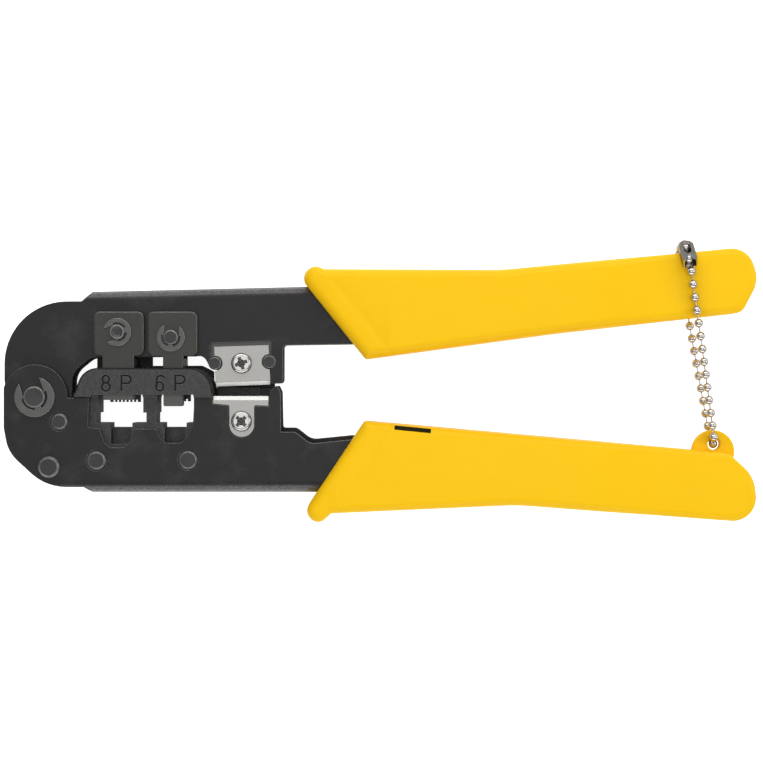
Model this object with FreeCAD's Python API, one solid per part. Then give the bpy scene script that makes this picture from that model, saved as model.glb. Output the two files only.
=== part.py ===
import FreeCAD, Part
import math
import os

# Modular-plug crimping tool: a two-handled press with an 8-position and a 6-position die, a pair of
# cutting blades and a ball chain that keeps the handles together.
#
# X runs from the pivot end to the grip ends and Y from the lower grip to the upper grip. Shapes are
# drawn about the tool's mid-plane, Z = 0, and lifted by HALF_DEPTH when they are written, so that the
# origin is under the middle of the tool as it lies on a bench. All sizes are in millimetres.

# ---- depth of each layer, from the mid-plane ----
HALF_DEPTH = 10.0
ARM_INNER = 3.4
ARM_OUTER = 5.0
BASE_INNER = 5.2
BASE_OUTER = 7.0
CHEEK_INNER = 5.15
CHEEK_OUTER = 6.75
BAR_INNER = 6.9
BAR_OUTER = 8.65
BAR_ROOT = 0.5
GRIP_END_HALF = 6.6
GRIP_FRONT_HALF = 9.3
UPPER_GRIP_ROUNDING = 2.8
LOWER_GRIP_ROUNDING = 2.2

# ---- pivot ----
PIVOT = (-91.5, -2.9)
PIVOT_PIN_R = 2.85
PIVOT_HEAD_R = 4.4
PIVOT_CLIP_R = 5.3
BASE_LOBE_R = 8.6
ARM_EAR_R = 6.8
RUNNING_GAP = 0.05
LEFT_EDGE_X = -99.75

# ---- folded channels ----
BASE_BOTTOM_Y = -28.17
BASE_TOP_Y = -3.2
BASE_TOP_RISE = 0.3
BASE_WALL = BASE_OUTER - BASE_INNER
BASE_BEND_R = 3.0
BASE_FOLD_X = -76.6
REAR_STEP = 0.9
ARM_WALL = ARM_OUTER - ARM_INNER
ARM_BEND_R = 2.6
ARM_FOLD_X = -79.3
TANG_END_X = 64.0

# ---- dies ----
BAR_TOP_Y = 4.76
GUIDE_RAIL_Y = 5.4
GUIDE_POSTS = ((-76.9, -75.3, 8.2), (-67.1, -61.9, 8.2), (-54.3, -52.5, 6.6))
CAVITY_STEP_Y = -7.06
CAVITY_FLOOR_Y = -9.74
LATCH_FLOOR_Y = -11.04
LATCH_POCKET_Y = -15.4
LATCH_POCKET_Z = 1.0
CONTACT_PITCH = 1.02
TOOTH_WIDTH = 0.42
TOOTH_LENGTH = 0.6
COMB_SHOULDER_Y = -2.4
MARK_DEPTH = 0.35
MARK_STROKE = 0.42
MARK_HEIGHT = 4.3

# ---- rivets, screws and pins ----
RIVET_PLACES = ((-84.99, -9.38, 2.2), (-75.14, -19.7, 2.5), (-50.93, -19.57, 2.5))
RIVET_PROUD = 0.6
RIVET_CHAMFER = 0.5
RIVET_DIMPLE_WIDTH = 0.35
RIVET_DIMPLE_DEPTH = 0.45
SPRING_POST = (-87.71, -21.42)
SPRING_POST_R = 2.0
SPRING_POST_HEAD_R = 2.85
SPRING_POST_HEAD_H = 1.1
SPRING_POST_CHAMFER = 0.6
SCREW_R = 1.48
SCREW_HOLE_R = 1.5
SCREW_HEAD_R = 2.72
SCREW_HEAD_H = 1.65
CROSS_HALF_WIDTH = 0.46
PLUNGER_PIN_R = 2.0
PLUNGER_CLIP_R = 3.7
CLIP_THICK = 0.7

# ---- blades ----
UPPER_BLADE_SCREW = (-36.91, 6.03)
LOWER_BLADE_SCREW = (-36.79, -9.31)
BLADE_RIVETS = ((-44.0, 6.03), (-29.56, 6.48))
BLADE_RIVET_R = 1.75
BLADE_NOTCH_R = 2.0
BLADE_BEVEL = 1.15
BLADE_BEVEL_DEPTH = 0.62
LOWER_BLADE_THICK = 1.65
LOWER_STEM_R = 3.36
BLADE_BLOCK_BOTTOM = 4.85
BLADE_GUARD_TOP = 5.2

# ---- travel ----
CLOSE_ANGLE = math.radians(4.2)

# ---- return spring ----
SPRING_R = 4.23
SPRING_WIRE_R = 0.6
SPRING_HALF = 2.5
SPRING_START = -97.0
SPRING_END = 150.0
SPRING_TURNS = 3

# ---- ball chain ----
CHAIN_R = 1.2
EYELET = (89.1, -15.5)
EYELET_TAB = (89.0, -17.5)
EYELET_TAB_R = 5.7
EYELET_HOLE_R = 1.6
EYELET_TAB_HALF = 1.5
CHAIN_LEAN = math.radians(8.9)
# Points of the chain as distance above the eyelet, along the chain, and height from the mid-plane.
CHAIN_ROUTE = (
    (48.2, 9.95),
    (42.5, 8.3),
    (32.0, 8.3),
    (0.0, 3.5),
    (0.0, -3.5),
    (32.0, -8.3),
    (41.5, -8.35),
    (54.4, -8.6),
    (53.8, 5.45),
)
CONNECTOR_LENGTH = 7.2
CONNECTOR_WIDTH = 3.9
CONNECTOR_DEPTH = 2.9
CONNECTOR_WALL = 0.4


class Die:
    """Sizes of one die: where its plunger, pin and cavity are."""

    def __init__(self, name, head, neck, pin, cavity, shoulder, latch, punch_y, comb_y, contacts):
        self.name = name
        self.head = head
        self.neck = neck
        self.pin = pin
        self.cavity = cavity
        self.shoulder = shoulder
        self.latch = latch
        self.punch_y = punch_y
        self.comb_y = comb_y
        self.contacts = contacts


DIE_8P = Die("8p", (-76.02, 8.06, -62.68, 19.75), (-73.61, -65.38), (-69.64, 14.3),
             (-74.9, -63.0), (-75.65, -62.15), (-71.95, -65.9), -3.7, -4.35, 8)
DIE_6P = Die("6p", (-61.72, 7.95, -48.49, 19.75), (-57.6, -52.28), (-55.45, 12.9),
             (-59.25, -49.55), (-59.6, -49.2), (-57.7, -51.5), -5.36, -4.15, 6)
DIES = (DIE_8P, DIE_6P)
HEAD_CORNER_R = 1.7
NECK_TOP_Y = 7.4
NECK_BOTTOM_Y = -2.2
NECK_GAP = 0.15


# ---------------------------------------------------------------- small helpers


def vec(x, y, z=0.0):
    return FreeCAD.Vector(x, y, z)


def rounded_outline(points):
    """A closed wire through (x, y) points; a third number rounds that corner to a tangent arc."""
    corners = [(vec(p[0], p[1]), p[2] if len(p) > 2 else 0.0) for p in points]
    starts = []
    ends = []
    arcs = []
    for i, (here, radius) in enumerate(corners):
        before = corners[i - 1][0]
        after = corners[(i + 1) % len(corners)][0]
        if radius == 0.0:
            starts.append(here)
            ends.append(here)
            arcs.append(None)
            continue
        back = (before - here).normalize()
        on = (after - here).normalize()
        half = back.getAngle(on) / 2
        reach = radius / math.tan(half)
        middle = (back + on).normalize() * (radius / math.sin(half) - radius)
        starts.append(here + back * reach)
        ends.append(here + on * reach)
        arcs.append(here + middle)
    edges = []
    for i, middle in enumerate(arcs):
        if middle is not None:
            edges.append(Part.Arc(starts[i], middle, ends[i]).toShape())
        following = starts[(i + 1) % len(arcs)]
        if ends[i].distanceToPoint(following) > 1e-6:
            edges.append(Part.LineSegment(ends[i], following).toShape())
    return Part.Wire(edges)


def extruded(wire, along):
    """The solid that a flat wire sweeps along a straight line, with its faces pointing out."""
    solid = Part.Face(wire).extrude(along)
    if solid.Volume < 0:
        solid.reverse()
    return solid


def plate(points, z0, z1):
    wire = rounded_outline(points)
    wire.translate(vec(0, 0, z0))
    return extruded(wire, vec(0, 0, z1 - z0))


def disc(place, radius, z0, z1):
    return Part.makeCylinder(radius, z1 - z0, vec(place[0], place[1], z0))


def cone(place, r0, r1, z0, z1):
    return Part.makeCone(r0, r1, z1 - z0, vec(place[0], place[1], z0))


def block(x0, x1, y0, y1, z0, z1):
    return Part.makeBox(x1 - x0, y1 - y0, z1 - z0, vec(x0, y0, z0))


def join(*shapes):
    return shapes[0].fuse(list(shapes[1:])).removeSplitter()


def chamfered_pin(place, radius, z0, z1, chamfer):
    """A round pin with both ends chamfered."""
    return join(
        cone(place, radius - chamfer, radius, z0, z0 + chamfer),
        disc(place, radius, z0 + chamfer, z1 - chamfer),
        cone(place, radius, radius - chamfer, z1 - chamfer, z1),
    )


def fillet_where(shape, radius, wanted):
    """Rounds the edges whose middle point and direction satisfy wanted(point, edge)."""
    edges = [e for e in shape.Edges if wanted(e.valueAt((e.FirstParameter + e.LastParameter) / 2), e)]
    return shape.makeFillet(radius, edges)


def write(name, shape):
    """Lifts a finished piece onto the bench and writes it as its own STEP file."""
    solids = shape.Solids
    piece = solids[0].copy() if len(solids) == 1 else Part.makeCompound(solids)
    piece.translate(vec(0, 0, HALF_DEPTH))
    piece.exportStep(os.path.join("parts", name + ".step"))
    box = piece.BoundBox
    print("%-22s solids %2d  volume %9.1f  x %7.2f %7.2f  y %7.2f %7.2f  z %6.2f %6.2f" % (
        name, len(solids), piece.Volume, box.XMin, box.XMax, box.YMin, box.YMax, box.ZMin, box.ZMax))


# ---------------------------------------------------------------- lower frame


def base_block():
    """The lower frame before it is hollowed: nose round the pivot, die housing, and the tang in the grip."""
    side = plate([
        (LEFT_EDGE_X, PIVOT[1]),
        (PIVOT[0], BASE_TOP_Y),
        (-29.3, BASE_TOP_Y + BASE_TOP_RISE),
        (-29.1, -1.2, 0.3),
        (-27.4, 0.3, 0.4),
        (-26.5, -1.6, 0.6),
        (-26.3, -12.16 + REAR_STEP, 0.6),
        (-22.6, -12.16 + REAR_STEP, 2.0),
        (-18.6, -15.3 + REAR_STEP, 4.0),
        (-7.6, -14.2 + REAR_STEP),
        (TANG_END_X, -21.5, 1.5),
        (TANG_END_X, -31.0),
        (35.0, -28.8),
        (-18.4, BASE_BOTTOM_Y),
        (BASE_FOLD_X, BASE_BOTTOM_Y),
        (-78.6, -26.8, 1.0),
        (-88.5, -26.8, 14.0),
        (-98.6, -17.5, 10.0),
        (LEFT_EDGE_X, -11.0, 4.0),
    ], -BASE_OUTER, BASE_OUTER)

    def long_bottom_edge(p, e):
        return p.y < -28.0 and abs(abs(p.z) - BASE_OUTER) < 0.01 and e.Length > 30

    side = fillet_where(side, BASE_BEND_R, long_bottom_edge)
    lobe = disc(PIVOT, BASE_LOBE_R, -BASE_OUTER, BASE_OUTER)
    left_of_nose = block(-110, LEFT_EDGE_X, -40, 30, -20, 20)
    return join(side, lobe).cut(left_of_nose)


def base_hollow():
    """The space between the folded plates, open along the top and round the nose."""
    space = plate([
        (-105.0, 15.0),
        (TANG_END_X + 5, 15.0),
        (TANG_END_X + 5, -31.2 + BASE_WALL),
        (35.0, -28.8 + BASE_WALL),
        (-18.4, BASE_BOTTOM_Y + BASE_WALL),
        (BASE_FOLD_X, BASE_BOTTOM_Y + BASE_WALL),
        (BASE_FOLD_X - 0.6, -35.0),
        (-105.0, -35.0),
    ], -BASE_INNER, BASE_INNER)

    def fold_corner(p, e):
        inside = BASE_BOTTOM_Y + BASE_WALL - 3 < p.y < -24
        return inside and abs(abs(p.z) - BASE_INNER) < 0.01 and e.Length > 30

    return fillet_where(space, BASE_BEND_R - BASE_WALL, fold_corner)


def die_window():
    """The opening in both plates in front of the cavities, with a notch under each for the plug's latch."""
    return plate([
        (-77.2, 0.0),
        (-77.4, -10.9, 0.5),
        (-74.3, -11.3, 0.8),
        (-73.1, -14.9, 1.5),
        (-71.6, -16.26, 1.0),
        (-68.0, -16.26, 1.0),
        (-66.5, -15.0, 1.2),
        (-65.2, -11.3, 0.8),
        (-59.2, -11.3, 0.8),
        (-58.3, -13.8, 1.0),
        (-57.0, -15.07, 1.0),
        (-52.9, -15.07, 1.0),
        (-51.2, -13.6, 1.2),
        (-49.6, -9.6, 2.0),
        (-49.08, 0.0),
    ], -12, 12)


def lower_blade_outline(gap):
    """The T of the lower blade, grown by gap on every side."""
    x0 = -44.38 - gap
    x1 = -29.65 + gap
    stem0 = -40.05 - gap
    stem1 = -33.4 + gap
    bar_y = -5.1 - gap
    foot = LOWER_BLADE_SCREW[1] - 4.2 - gap
    top = -2.64 + (3.0 if gap else 0.0)
    return [
        (x0, top),
        (x0, bar_y + 0.4),
        (stem0, bar_y, 0.5),
        (stem0, foot, LOWER_STEM_R - 0.1),
        (stem1, foot, LOWER_STEM_R - 0.1),
        (stem1, bar_y, 0.5),
        (x1, bar_y - 0.2),
        (x1, top),
    ]


def lower_frame():
    guard = plate([
        (-44.2, BASE_TOP_Y - 1.0),
        (-44.2, BLADE_GUARD_TOP - 0.8, 0.4),
        (-42.5, BLADE_GUARD_TOP, 0.5),
        (-28.6, BLADE_GUARD_TOP, 0.8),
        (-28.6, BASE_TOP_Y - 1.0),
    ], -BASE_OUTER, -BASE_INNER - 0.2)
    frame = join(base_block().cut(base_hollow()), guard)
    front_trim = plate([
        (-26.4, -12.16),
        (-26.4, 0.0),
        (-5.0, 0.0),
        (-5.0, -14.0),
        (-7.6, -14.2),
        (-18.6, -15.3, 4.0),
        (-22.6, -12.16, 2.0),
    ], 0, BASE_OUTER + 1)
    blade_seat = plate(lower_blade_outline(0.12), 0, BASE_OUTER + 1)
    frame = frame.cut([die_window(), front_trim, blade_seat])
    for x, y, radius in RIVET_PLACES:
        frame = frame.cut([
            disc((x, y), radius + 0.02, -9, 9),
            cone((x, y), radius + 0.02, radius + RIVET_DIMPLE_WIDTH,
                 BASE_OUTER - RIVET_DIMPLE_DEPTH, BASE_OUTER + 0.01),
            cone((x, y), radius + RIVET_DIMPLE_WIDTH, radius + 0.02,
                 -BASE_OUTER - 0.01, -BASE_OUTER + RIVET_DIMPLE_DEPTH),
        ])
    frame = frame.cut(disc(SPRING_POST, SPRING_POST_R, -9, 9))
    return frame.cut(disc(PIVOT, PIVOT_PIN_R, -9, 9))


# ---------------------------------------------------------------- die block


def mark_ring(x, y, width, height):
    """The groove of a closed round stroke, width by height, with its middle at x, y."""
    s = MARK_STROKE
    outer_r = min(width, height) / 2 - 0.01
    inner_r = outer_r - s
    x0 = x - width / 2
    x1 = x + width / 2
    y0 = y - height / 2
    y1 = y + height / 2
    z0 = BAR_OUTER - MARK_DEPTH
    z1 = BAR_OUTER + 1
    outside = plate([(x0, y0, outer_r), (x1, y0, outer_r), (x1, y1, outer_r), (x0, y1, outer_r)], z0, z1)
    inside = plate([(x0 + s, y0 + s, inner_r), (x1 - s, y0 + s, inner_r),
                    (x1 - s, y1 - s, inner_r), (x0 + s, y1 - s, inner_r)], z0 - 1, z1 + 1)
    return outside.cut(inside)


def position_marks():
    """Grooves of the position counts: an 8 and a 6, each with a P after it."""
    z0 = BAR_OUTER - MARK_DEPTH
    z1 = BAR_OUTER + 1
    y0 = -1.35
    y1 = y0 + MARK_HEIGHT
    half = MARK_HEIGHT / 2
    s = MARK_STROKE
    grooves = [
        mark_ring(-72.5, y1 - half / 2 - 0.05, 2.2, half + 0.15),
        mark_ring(-72.5, y0 + half / 2 + 0.05, 2.6, half + 0.35),
        mark_ring(-58.3, y0 + half / 2 + 0.15, 2.3, half + 0.5),
    ]
    stroke_of_six = mark_ring(-58.0, (y0 + y1) / 2, 2.6, MARK_HEIGHT)
    grooves.append(stroke_of_six.cut([
        block(-58.0, -55, y0 - 1, y1 - 0.9, z0 - 1, z1 + 1),
        block(-60, -55, y0 - 1, y0 + half / 2, z0 - 1, z1 + 1),
    ]))
    for x in (-68.6, -54.4):
        bowl = mark_ring(x + 1.5, y1 - half / 2 - 0.15, 2.8, half + 0.3)
        grooves.append(bowl.cut(block(x - 1, x + 1.2, y0, y1 + 1, z0 - 1, z1 + 1)))
        grooves.append(block(x, x + s, y0, y1, z0, z1))
        grooves.append(block(x, x + 1.5, y1 - s, y1, z0, z1))
        grooves.append(block(x, x + 1.5, y1 - half - 0.3, y1 - half - 0.3 + s, z0, z1))
    return grooves


def die_bar():
    """The proud bar over the plates, which guides the plungers."""
    bar = plate([
        (-81.4, BASE_TOP_Y + 0.2, 0.4),
        (-78.4, BAR_TOP_Y, 5.2),
        (-44.3, BAR_TOP_Y, 6.2),
        (-44.4, BASE_TOP_Y, 0.3),
    ], -BAR_OUTER, BAR_OUTER)

    def top_rim(p, e):
        return abs(abs(p.z) - BAR_OUTER) < 0.01 and p.y > BASE_TOP_Y + 1

    bar = fillet_where(bar, 0.7, top_rim)
    seat_y = BASE_TOP_Y + BASE_TOP_RISE
    plates_below = [
        block(-90, -40, -6, seat_y, BASE_INNER, BASE_OUTER),
        block(-90, -40, -6, seat_y, -BASE_OUTER, -BASE_INNER),
    ]
    step_under = block(-76.4, -49.3, -6, -2.3, BAR_INNER, BAR_OUTER + 1)
    rear_step_under = block(-76.4, -49.3, -6, -2.3, -BAR_OUTER - 1, -BAR_INNER)
    rear_guides = [plate([
        (-78.4, BASE_TOP_Y + 3),
        (-76.9, GUIDE_RAIL_Y, 0.8),
        (-48.4, GUIDE_RAIL_Y + 0.1, 1.5),
        (-45.2, 3.9, 0.5),
        (-45.2, BASE_TOP_Y + 3),
    ], -BAR_OUTER + 0.1, -BAR_INNER)]
    for x0, x1, post_y in GUIDE_POSTS:
        rear_guides.append(block(x0, x1, BAR_TOP_Y - 1.5, post_y, -BAR_OUTER + 0.1, -BAR_INNER))
    return join(bar.cut(plates_below + [step_under, rear_step_under]), *rear_guides)


def die_body():
    """The casting between the plates: cavities on the left, blade seat and strip stop on the right."""
    body = plate([
        (-80.9, BASE_TOP_Y + BAR_ROOT),
        (-83.0, -5.6),
        (-88.6, -8.0, 3.3),
        (-86.0, -13.4, 3.3),
        (-80.6, -13.2, 1.0),
        (-79.6, -24.4, 2.0),
        (-27.6, -24.4, 2.0),
        (-27.6, -5.6, 0.5),
        (-45.4, -5.6),
        (-45.4, BASE_TOP_Y + BAR_ROOT),
    ], -BASE_INNER, BASE_INNER)
    strip_stop = block(-43.7, -32.6, -5.7, -0.29, -BASE_INNER, -1.5)
    rear_ledge = block(-46.5, -29.5, -5.7, -0.6, -BASE_INNER, -3.9)
    return join(body, strip_stop, rear_ledge).cut(disc(PIVOT, ARM_EAR_R + 0.6, -9, 9))


def die_cuts(die):
    """Everything cut for one die: plunger slot, stepped plug cavity and latch pocket."""
    return [
        block(die.neck[0] - NECK_GAP, die.neck[1] + NECK_GAP, -4.0, 10.0, -BAR_INNER, BAR_INNER),
        block(die.cavity[0], die.cavity[1], CAVITY_STEP_Y - 0.1, BASE_TOP_Y + 0.9, -BAR_INNER, BAR_INNER),
        block(die.shoulder[0], die.shoulder[1], CAVITY_FLOOR_Y, CAVITY_STEP_Y, -9, 9),
        block(die.latch[0], die.latch[1], LATCH_FLOOR_Y, CAVITY_FLOOR_Y + 0.1, -9, 9),
        block(die.latch[0] + 0.4, die.latch[1] - 0.4, LATCH_POCKET_Y, LATCH_FLOOR_Y + 0.1,
              LATCH_POCKET_Z, 9),
    ]


def die_block():
    casting = join(die_bar(), die_body())
    for die in DIES:
        casting = casting.cut(die_cuts(die))
    casting = casting.cut(position_marks())
    holes = [disc((x, y), r, -9, 9) for x, y, r in RIVET_PLACES]
    holes.append(disc(LOWER_BLADE_SCREW, SCREW_HOLE_R, -1.0, 9))
    return casting.cut(holes)


# ---------------------------------------------------------------- lower blade and fasteners


def lower_blade():
    z0 = BASE_INNER
    z1 = BASE_INNER + LOWER_BLADE_THICK
    blade = plate(lower_blade_outline(0.0), z0, z1)
    blade = blade.cut(disc(LOWER_BLADE_SCREW, SCREW_HOLE_R + 0.1, 0, 12))
    top = -2.64
    bevel = extruded(Part.makePolygon([
        vec(-50, top + 0.01, z1 + 0.01),
        vec(-50, top - BLADE_BEVEL, z1 + 0.01),
        vec(-50, top + 0.01, z1 - BLADE_BEVEL_DEPTH),
        vec(-50, top + 0.01, z1 + 0.01),
    ]), vec(30, 0, 0))
    return blade.cut(bevel)


def cross_recess(place, top, reach, turn):
    """The cross cut in a screw head, tapering to its floor."""
    arms = []
    for angle in (turn, turn + 90.0):
        arm = block(-reach, reach, -CROSS_HALF_WIDTH, CROSS_HALF_WIDTH, top - 0.95, top + 0.5)
        arm.rotate(vec(0, 0, 0), vec(0, 0, 1), angle)
        arm.translate(vec(place[0], place[1], 0))
        arms.append(arm)
    arms.append(cone(place, 0.35, 1.05, top - 1.15, top + 0.01))
    return arms


def pan_screw(place, seat, tip, turn):
    """A pan-head cross-recess machine screw whose head sits at height seat."""
    head = disc(place, SCREW_HEAD_R, seat, seat + SCREW_HEAD_H)

    def rim(p, e):
        return p.z > seat + SCREW_HEAD_H - 0.01 and e.Closed

    head = fillet_where(head, 0.85, rim)
    shank = join(cone(place, SCREW_R - 0.5, SCREW_R, tip, tip + 0.5), disc(place, SCREW_R, tip + 0.5, seat))
    return join(head, shank).cut(cross_recess(place, seat + SCREW_HEAD_H, 1.7, turn))


def die_block_rivets():
    top = BASE_OUTER + RIVET_PROUD
    pins = [chamfered_pin((x, y), r, -top, top, RIVET_CHAMFER) for x, y, r in RIVET_PLACES]
    return Part.makeCompound(pins)


def spring_post():
    top = BASE_OUTER + SPRING_POST_HEAD_H
    edge = top - SPRING_POST_CHAMFER
    shank = disc(SPRING_POST, SPRING_POST_R, -BASE_OUTER, BASE_OUTER)
    front = join(disc(SPRING_POST, SPRING_POST_HEAD_R, BASE_OUTER, edge),
                 cone(SPRING_POST, SPRING_POST_HEAD_R, SPRING_POST_HEAD_R - SPRING_POST_CHAMFER, edge, top))
    rear = front.mirror(vec(0, 0, 0), vec(0, 0, 1))
    return join(shank, front, rear)


def retained_pin(place, radius, front_face, head_r, rear_face, dish):
    """A pin with a flat head behind and a groove for an E-clip in front of front_face."""
    tip = front_face + CLIP_THICK + 0.75
    groove = disc(place, radius + 1, front_face + 0.03, front_face + 0.03 + CLIP_THICK)
    groove = groove.cut(disc(place, radius * 0.76, -20, 20))
    shank = join(disc(place, radius, -rear_face, tip - 0.35),
                 cone(place, radius, radius - 0.35, tip - 0.35, tip))
    head = join(disc(place, head_r, -rear_face - 0.9, -rear_face),
                cone(place, head_r - 0.3, head_r, -rear_face - 1.2, -rear_face - 0.9))
    pin = join(shank, head).cut(groove)
    if dish:
        pin = pin.cut(cone(place, radius * 0.45, radius * 0.85, tip - 0.3, tip + 0.01))
    return pin


def e_clip(place, pin_r, outer_r, face, opening):
    """An E-clip in a pin's groove; opening is the direction of its mouth in degrees."""
    grip_r = pin_r * 0.76 + 0.01
    ring_r = pin_r + 0.55
    z0 = face + 0.03
    z1 = z0 + CLIP_THICK
    ring = disc((0, 0), outer_r, z0, z1).cut(disc((0, 0), ring_r, z0 - 1, z1 + 1))
    tooth = block(grip_r * 0.8, ring_r + 0.3, -pin_r * 0.3, pin_r * 0.3, z0, z1)
    for angle in (62.0, 180.0, 298.0):
        lug = tooth.copy()
        lug.rotate(vec(0, 0, 0), vec(0, 0, 1), angle)
        ring = ring.fuse(lug)
    mouth = block(0, outer_r + 1, -pin_r * 0.98, pin_r * 0.98, z0 - 1, z1 + 1)
    clip = ring.removeSplitter().cut([mouth, disc((0, 0), grip_r, z0 - 1, z1 + 1)])
    clip.rotate(vec(0, 0, 0), vec(0, 0, 1), opening)
    clip.translate(vec(place[0], place[1], 0))
    return clip


# ---------------------------------------------------------------- upper frame


def arm_block():
    """The upper frame before it is hollowed."""
    side = plate([
        (-99.9, 1.0, 3.0),
        (-99.9, 22.42, 16.6),
        (-79.4, 22.52, 0.8),
        (-76.6, 25.13),
        (-19.25, 26.51),
        (35.0, 26.6),
        (TANG_END_X, 30.4),
        (TANG_END_X, 20.8, 1.5),
        (35.0, 16.4),
        (-7.57, 11.16),
        (-25.9, 10.9, 0.8),
        (-25.9, 0.64, 1.0),
        (-29.1, 0.64, 0.5),
        (-29.1, BLADE_BLOCK_BOTTOM, 0.4),
        (-45.3, BLADE_BLOCK_BOTTOM, 0.4),
        (-46.9, 8.1, 2.6),
        (-60.0, 7.75),
        (-76.9, 7.65, 4.5),
        (-82.0, 3.5, 5.0),
        (-82.1, PIVOT[1]),
        (-85.3, -5.6),
        (PIVOT[0], PIVOT[1] - ARM_EAR_R + 0.4),
        (-98.3, PIVOT[1], 1.0),
    ], -ARM_OUTER, ARM_OUTER)

    def long_top_edge(p, e):
        return p.y > 24.5 and abs(abs(p.z) - ARM_OUTER) < 0.01 and e.Length > 30

    side = fillet_where(side, ARM_BEND_R, long_top_edge)
    return join(side, disc(PIVOT, ARM_EAR_R, -ARM_OUTER, ARM_OUTER))


def arm_hollow():
    """The space between the upper frame's folded plates, open below and round the nose."""
    space = plate([
        (-105.0, 40.0),
        (ARM_FOLD_X - 0.3, 40.0),
        (ARM_FOLD_X + 0.4, 22.0),
        (-76.4, 25.13 - ARM_WALL),
        (-19.25, 26.51 - ARM_WALL),
        (35.0, 26.6 - ARM_WALL),
        (TANG_END_X + 5, 30.8 - ARM_WALL),
        (TANG_END_X + 5, -20.0),
        (-105.0, -20.0),
    ], -ARM_INNER, ARM_INNER)

    def fold_corner(p, e):
        return 22.5 < p.y < 30 and abs(abs(p.z) - ARM_INNER) < 0.01 and e.Length > 30

    return fillet_where(space, ARM_BEND_R - ARM_WALL, fold_corner)


def pin_slot(die):
    """The slot in which a plunger's pin slides as the arm swings down."""
    x, y = die.pin
    rise = y - PIVOT[1]
    play = PLUNGER_PIN_R + 0.1
    reach = rise * math.sin(CLOSE_ANGLE) + play + 0.1
    return block(x - reach, x + play + 0.1, y - play, y + play, -9, 9)


def upper_frame():
    frame = arm_block().cut(arm_hollow())
    pocket = plate([(-45.0, 0.0), (-45.3, 11.42, 0.6), (-28.95, 11.95, 0.6), (-28.75, 0.0)], 0, 9)
    leg = block(-29.1, -25.0, -2.0, 12.0, 0, 9)
    frame = frame.cut(pocket.cut(leg))
    frame = frame.cut([pin_slot(die) for die in DIES])
    frame = frame.cut([disc(place, BLADE_RIVET_R, -9, 9) for place in BLADE_RIVETS])
    return frame.cut(disc(PIVOT, PIVOT_PIN_R + RUNNING_GAP, -9, 9))


def blade_block():
    """The seat of the upper blade, between the arm's plates."""
    seat = plate([
        (-45.2, BLADE_BLOCK_BOTTOM, 0.4),
        (-26.6, BLADE_BLOCK_BOTTOM, 0.5),
        (-26.6, 12.2, 0.5),
        (-46.2, 12.2, 0.5),
        (-46.2, 7.2, 0.5),
    ], -ARM_INNER, ARM_INNER)
    return seat.cut([disc(place, BLADE_RIVET_R, -9, 9) for place in BLADE_RIVETS]
                    + [disc(UPPER_BLADE_SCREW, SCREW_HOLE_R, -9, 9)])


def blade_rivets():
    rear = -ARM_OUTER - 0.2
    front = ARM_OUTER + 0.15
    pins = [chamfered_pin(place, BLADE_RIVET_R, rear, front, 0.25) for place in BLADE_RIVETS]
    return Part.makeCompound(pins)


def upper_blade():
    blade = plate([(-44.24, 10.42), (-43.74, -0.21), (-29.19, 0.35), (-29.74, 10.87)], ARM_INNER, ARM_OUTER)
    cuts = [disc(place, BLADE_NOTCH_R, 0, 9) for place in BLADE_RIVETS]
    cuts.append(disc(UPPER_BLADE_SCREW, SCREW_HOLE_R + 0.1, 0, 9))
    slope = math.atan2(0.56, 14.55)
    wedge = extruded(Part.makePolygon([
        vec(-3, BLADE_BEVEL, ARM_OUTER + 0.01),
        vec(-3, -0.01, ARM_OUTER - BLADE_BEVEL_DEPTH),
        vec(-3, -0.5, ARM_OUTER - BLADE_BEVEL_DEPTH),
        vec(-3, -0.5, ARM_OUTER + 0.01),
        vec(-3, BLADE_BEVEL, ARM_OUTER + 0.01),
    ]), vec(22, 0, 0))
    wedge.rotate(vec(0, 0, 0), vec(0, 0, 1), math.degrees(slope))
    wedge.translate(vec(-43.74, -0.21, 0))
    return blade.cut(cuts + [wedge])


# ---------------------------------------------------------------- plungers


def plunger(die):
    """Two cheeks outside the arm, joined below it by a neck that slides in the die bar."""
    x0, y0, x1, y1 = die.head
    n0, n1 = die.neck
    r = HEAD_CORNER_R
    head = [(x0, y0, r), (x1, y0, r), (x1, y1, r), (x0, y1, r)]
    cheek = join(plate(head, CHEEK_INNER, CHEEK_OUTER),
                 block(n0, n1, NECK_TOP_Y - 0.5, y0 + 0.5, CHEEK_INNER, CHEEK_OUTER))

    def front_rim(p, e):
        return p.z > CHEEK_OUTER - 0.01 and p.y > y0 - 0.01

    cheek = fillet_where(cheek, 0.45, front_rim)
    rear = cheek.mirror(vec(0, 0, 0), vec(0, 0, 1))
    neck = block(n0, n1, NECK_BOTTOM_Y, NECK_TOP_Y, -CHEEK_OUTER, CHEEK_OUTER)
    body = join(neck, cheek, rear)
    return body.cut([disc(die.pin, PLUNGER_PIN_R, -12, 12), comb_pocket(die), punch_pocket(die)])


def comb_half_width(die):
    return (die.contacts - 1) * CONTACT_PITCH / 2 + 0.5


def comb_pocket(die):
    middle = sum(die.neck) / 2
    half = min(comb_half_width(die), (die.neck[1] - die.neck[0]) / 2)
    return block(middle - half, middle + half, NECK_BOTTOM_Y - 1, NECK_BOTTOM_Y + 3, -6.2, -4.4)


def punch_pocket(die):
    return block(die.neck[0] + 0.8, die.neck[1] - 0.8, NECK_BOTTOM_Y - 1, NECK_BOTTOM_Y + 2, 3.2, 5.6)


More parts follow.
